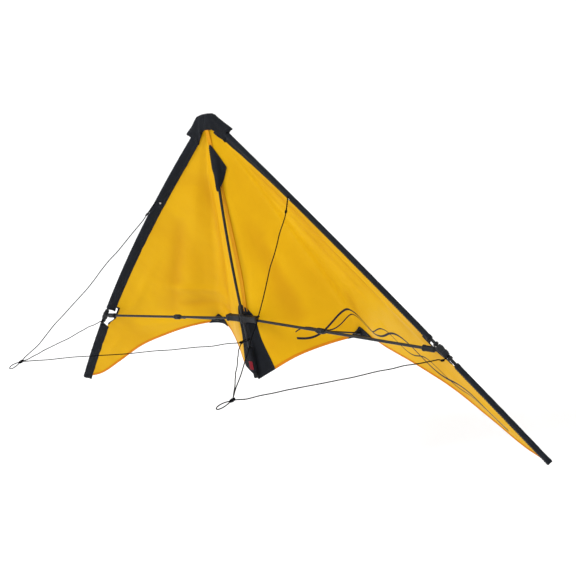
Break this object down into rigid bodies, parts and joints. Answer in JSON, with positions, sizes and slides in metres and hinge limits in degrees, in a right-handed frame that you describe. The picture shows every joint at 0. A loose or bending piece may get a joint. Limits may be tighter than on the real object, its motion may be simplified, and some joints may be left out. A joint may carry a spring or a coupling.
{
  "type": "delta stunt kite",
  "caption": "Dual-line delta kite with a billowed cloth sail on a rod frame, sprung whiskers that shape its trailing edge, and a three-leg line bridle on each side.",
  "frame": {"origin": "middle of the centre T, on the axis of the spine", "axes": "+X to the wing on the right of a flyer who faces the kite's front, -Y towards the flyer, +Z along the spine to the nose"},
  "size_m": [1.2538, 0.4319, 0.5744],
  "materials": {
    "sail_cloth": "coated ripstop cloth, yellow-orange, soft sheen",
    "seam_tape": "doubled cloth and tape, deeper orange",
    "sleeve_cloth": "black woven polyester",
    "webbing": "heavy black woven webbing, matt",
    "tab": "dark red woven tab",
    "bridle_line": "braided line, near black",
    "rod": "pultruded glass-fibre rod, satin black",
    "rubber": "moulded black rubber, satin"
  },
  "bodies": {
    "root": {"spine_rod": "rod", "spine_end_cap": "rubber", "centre_t": "rubber", "nose_cap": "webbing", "centre_seam": "seam_tape", "spine_patch": "webbing", "spine_pocket": "webbing", "tail_tab": "tab", "centre_bridle_loop": "bridle_line", "centre_bridle_knot": "bridle_line"},
    "left_wing": {"left_sail": "sail_cloth", "left_trailing_edge_hem": "seam_tape", "left_keel_patch": "webbing", "left_whisker_patch": "webbing", "left_edge_sleeve_upper": "sleeve_cloth", "left_edge_sleeve_lower": "sleeve_cloth", "left_edge_rod": "rod", "left_tip_nock": "rubber", "left_edge_connector": "rubber", "left_upper_stop_ring": "rubber", "left_lower_stop_ring": "rubber", "left_upper_tie": "bridle_line", "left_upper_knot": "bridle_line", "left_outer_tie": "bridle_line", "left_outer_knot": "bridle_line", "left_bridle_upper_leg": "bridle_line", "left_bridle_outer_leg": "bridle_line", "left_bridle_inner_leg": "bridle_line", "left_tow_knot": "bridle_line", "left_tow_loop": "bridle_line"},
    "left_spreader": {"left_spreader_rod": "rod", "left_spreader_socket": "rubber"},
    "left_whisker": {"left_standoff_clip": "rubber", "left_whisker_rod": "rod", "left_whisker_cap": "rubber"},
    "right_wing": {"right_sail": "sail_cloth", "right_trailing_edge_hem": "seam_tape", "right_keel_patch": "webbing", "right_whisker_patch": "webbing", "right_edge_sleeve_upper": "sleeve_cloth", "right_edge_sleeve_lower": "sleeve_cloth", "right_edge_rod": "rod", "right_tip_nock": "rubber", "right_edge_connector": "rubber", "right_upper_stop_ring": "rubber", "right_lower_stop_ring": "rubber", "right_upper_tie": "bridle_line", "right_upper_knot": "bridle_line", "right_outer_tie": "bridle_line", "right_outer_knot": "bridle_line", "right_bridle_upper_leg": "bridle_line", "right_bridle_outer_leg": "bridle_line", "right_bridle_inner_leg": "bridle_line", "right_tow_knot": "bridle_line", "right_tow_loop": "bridle_line"},
    "right_spreader": {"right_spreader_rod": "rod", "right_spreader_socket": "rubber"},
    "right_whisker": {"right_standoff_clip": "rubber", "right_whisker_rod": "rod", "right_whisker_cap": "rubber"}
  },
  "joints": [
    {"name": "right_wing_fold", "type": "hinge", "parent": "root", "child": "right_wing", "pos_m": [0, 0.017, 0], "axis": [0, 0, 1], "range_deg": [0, 60], "deforming": ["right_bridle_inner_leg", "nose_cap"]},
    {"name": "right_spreader_swing", "type": "hinge", "parent": "right_wing", "child": "right_spreader", "pos_m": [0.46258, -0.00263, -0.02234], "axis": [0, -1, 0], "range_deg": [0, 40]},
    {"name": "right_whisker_swivel", "type": "hinge", "parent": "right_spreader", "child": "right_whisker", "pos_m": [0.20122, -0.00115, -0.00972], "axis": [-0.9988, 0.0057, 0.0482], "range_deg": [0, 100]},
    {"name": "left_wing_fold", "type": "hinge", "parent": "root", "child": "left_wing", "pos_m": [0, 0.017, 0], "axis": [0, 0, -1], "range_deg": [0, 60], "deforming": ["left_bridle_inner_leg", "nose_cap"]},
    {"name": "left_spreader_swing", "type": "hinge", "parent": "left_wing", "child": "left_spreader", "pos_m": [-0.46258, -0.00263, -0.02234], "axis": [0, 1, 0], "range_deg": [0, 40]},
    {"name": "left_whisker_swivel", "type": "hinge", "parent": "left_spreader", "child": "left_whisker", "pos_m": [-0.20122, -0.00115, -0.00972], "axis": [-0.9988, -0.0057, -0.0482], "range_deg": [0, 100]}
  ]
}
